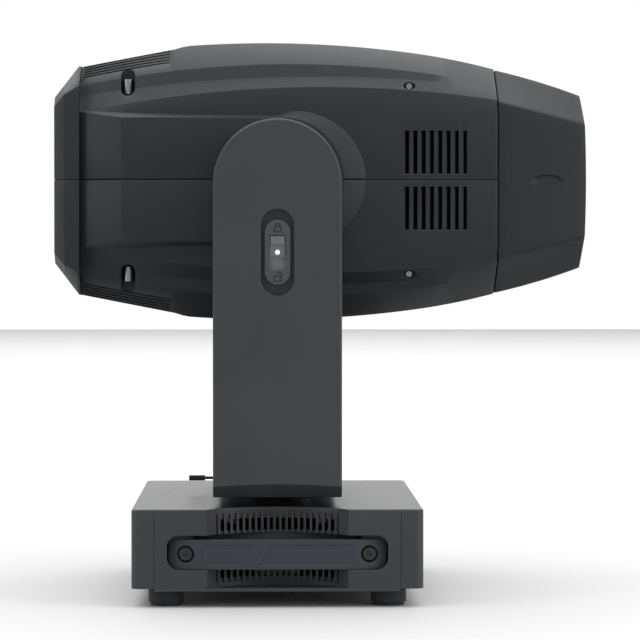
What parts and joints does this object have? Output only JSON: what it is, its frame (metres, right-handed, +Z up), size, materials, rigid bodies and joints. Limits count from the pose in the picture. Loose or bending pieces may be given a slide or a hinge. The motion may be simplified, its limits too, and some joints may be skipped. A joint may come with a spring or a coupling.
{
  "type": "moving head light",
  "caption": "Stage moving head light: finned base with carrying handles, panning two-arm yoke, tilting head with octagonal lens hood, drives, locks and optics inside.",
  "frame": {"origin": "centre of the bracket sockets on the base's underside, on the pan axis; the feet reach 17 mm below it", "axes": "+Z up along the pan axis, +X where the lens points at rest, -Y the side with the tilt lock"},
  "size_m": [0.5638, 0.42, 0.5894],
  "materials": {
    "base_casing": "fine moulded texture, satin",
    "base_top": "fine moulded texture, satin",
    "handle_plastic": "moulded, matt",
    "foot_rubber": "matt",
    "screw_black": "blackened",
    "screw_steel": "plain",
    "display_glass": "gloss",
    "button_rubber": "matt",
    "socket_plastic": "matt",
    "inlet_plastic": "matt",
    "steel_plate": "plain",
    "black_plate": "powder coat",
    "circuit_board": "satin",
    "aluminium": "machined",
    "black_aluminium": "anodised",
    "motor_steel": "satin",
    "belt_rubber": "matt",
    "yoke_plastic": "satin",
    "lock_plate": "satin",
    "lock_slider": "satin",
    "lock_mark": "plain",
    "lever_grip": "matt",
    "head_shell": "fine moulded texture, matt",
    "hood": "fine moulded texture, matt",
    "lens_glass": "coated",
    "grille": "powder coat",
    "fan_plastic": "matt",
    "gobo_metal": "satin",
    "filter_disc": "satin"
  },
  "bodies": {
    "base": {"base_plate": "black_plate", "base_top": "base_top", "side_cover_near": "base_casing", "side_cover_far": "base_casing", "front_panel": "base_casing", "rear_panel": "base_casing", "rubber_feet": "foot_rubber", "handle_near": "handle_plastic", "handle_far": "handle_plastic", "handle_screws": "screw_black", "display_window": "display_glass", "data_sockets": "socket_plastic", "power_inlet": "inlet_plastic", "fuse_holder": "socket_plastic", "power_supply": "steel_plate", "main_board": "circuit_board", "pan_bearing": "aluminium", "pan_motor": "motor_steel", "pan_belt": "belt_rubber"},
    "button_up": {"button_up": "button_rubber"},
    "button_down": {"button_down": "button_rubber"},
    "button_left": {"button_left": "button_rubber"},
    "button_enter": {"button_enter": "button_rubber"},
    "pan_pinion": {"pan_pinion": "aluminium"},
    "yoke": {"pan_shaft": "black_aluminium", "crossbar": "yoke_plastic", "yoke_frame": "steel_plate", "arm_cover_near": "yoke_plastic", "arm_cover_far": "yoke_plastic", "arm_inner_near": "yoke_plastic", "arm_inner_far": "yoke_plastic", "tilt_bearings": "motor_steel", "tilt_motor": "motor_steel", "tilt_belt": "belt_rubber", "tilt_lock_plate": "lock_plate"},
    "tilt_pinion": {"tilt_pinion": "aluminium"},
    "tilt_lock_slider": {"tilt_lock_slider": "lock_slider", "tilt_lock_mark": "lock_mark"},
    "pan_lock_lever": {"pan_lock_lever": "lever_grip"},
    "head": {"upper_shell": "head_shell", "lower_shell": "head_shell", "front_hood": "hood", "lens_ring": "black_aluminium", "front_lens": "lens_glass", "shell_screws": "screw_steel", "head_chassis": "steel_plate", "trunnions": "black_aluminium", "tilt_pulley": "aluminium", "rear_grille": "grille", "fan_housings": "fan_plastic", "heat_sink": "aluminium", "light_engine": "motor_steel", "wheel_spindle": "steel_plate", "guide_rods": "screw_steel"},
    "fan_rotor_near": {"fan_rotor_near": "fan_plastic"},
    "fan_rotor_far": {"fan_rotor_far": "fan_plastic"},
    "gobo_wheel": {"gobo_wheel": "gobo_metal"},
    "colour_wheel": {"colour_wheel": "filter_disc"},
    "zoom_carriage": {"zoom_carriage": "black_aluminium"},
    "focus_carriage": {"focus_carriage": "black_aluminium"}
  },
  "joints": [
    {"name": "pan", "type": "hinge", "parent": "base", "child": "yoke", "pos_m": [0, 0, 0.084], "axis": [0, 0, 1], "range_deg": [-270, 270]},
    {"name": "tilt", "type": "hinge", "parent": "yoke", "child": "head", "pos_m": [0, 0, 0.4243], "axis": [0, -1, 0], "range_deg": [-45, 225]},
    {"name": "pan_motor_turn", "type": "hinge", "parent": "base", "child": "pan_pinion", "pos_m": [0, -0.112, 0.048], "axis": [0, 0, 1], "range_deg": [-1080, 1080]},
    {"name": "tilt_motor_turn", "type": "hinge", "parent": "yoke", "child": "tilt_pinion", "pos_m": [0, 0.181, 0.25], "axis": [0, -1, 0], "range_deg": [-180, 900]},
    {"name": "tilt_lock_slide", "type": "slide", "parent": "yoke", "child": "tilt_lock_slider", "axis": [0, 0, -1], "range_m": [0, 0.0125]},
    {"name": "pan_lock_swing", "type": "hinge", "parent": "yoke", "child": "pan_lock_lever", "pos_m": [-0.054, 0, 0.1019], "axis": [0, 0, 1], "range_deg": [0, 28]},
    {"name": "gobo_select", "type": "hinge", "parent": "head", "child": "gobo_wheel", "pos_m": [-0.069, 0, 0.3803], "axis": [1, 0, 0], "continuous": true},
    {"name": "colour_select", "type": "hinge", "parent": "head", "child": "colour_wheel", "pos_m": [-0.057, 0, 0.3803], "axis": [1, 0, 0], "continuous": true},
    {"name": "zoom_slide", "type": "slide", "parent": "head", "child": "zoom_carriage", "axis": [1, 0, 0], "range_m": [-0.035, 0.018]},
    {"name": "focus_slide", "type": "slide", "parent": "head", "child": "focus_carriage", "axis": [1, 0, 0], "range_m": [-0.012, 0.038]},
    {"name": "fan_near_spin", "type": "hinge", "parent": "head", "child": "fan_rotor_near", "pos_m": [-0.219, -0.044, 0.4243], "axis": [1, 0, 0], "continuous": true},
    {"name": "fan_far_spin", "type": "hinge", "parent": "head", "child": "fan_rotor_far", "pos_m": [-0.219, 0.044, 0.4243], "axis": [1, 0, 0], "continuous": true},
    {"name": "press_up", "type": "slide", "parent": "base", "child": "button_up", "axis": [-1, 0, 0], "range_m": [0, 0.0012], "stiffness_N_per_m": 400},
    {"name": "press_down", "type": "slide", "parent": "base", "child": "button_down", "axis": [-1, 0, 0], "range_m": [0, 0.0012], "stiffness_N_per_m": 400},
    {"name": "press_left", "type": "slide", "parent": "base", "child": "button_left", "axis": [-1, 0, 0], "range_m": [0, 0.0012], "stiffness_N_per_m": 400},
    {"name": "press_enter", "type": "slide", "parent": "base", "child": "button_enter", "axis": [-1, 0, 0], "range_m": [0, 0.0012], "stiffness_N_per_m": 400}
  ],
  "couplings": [
    {"joint": "pan_motor_turn", "follows": "pan", "ratio": 4},
    {"joint": "tilt_motor_turn", "follows": "tilt", "ratio": 4}
  ]
}
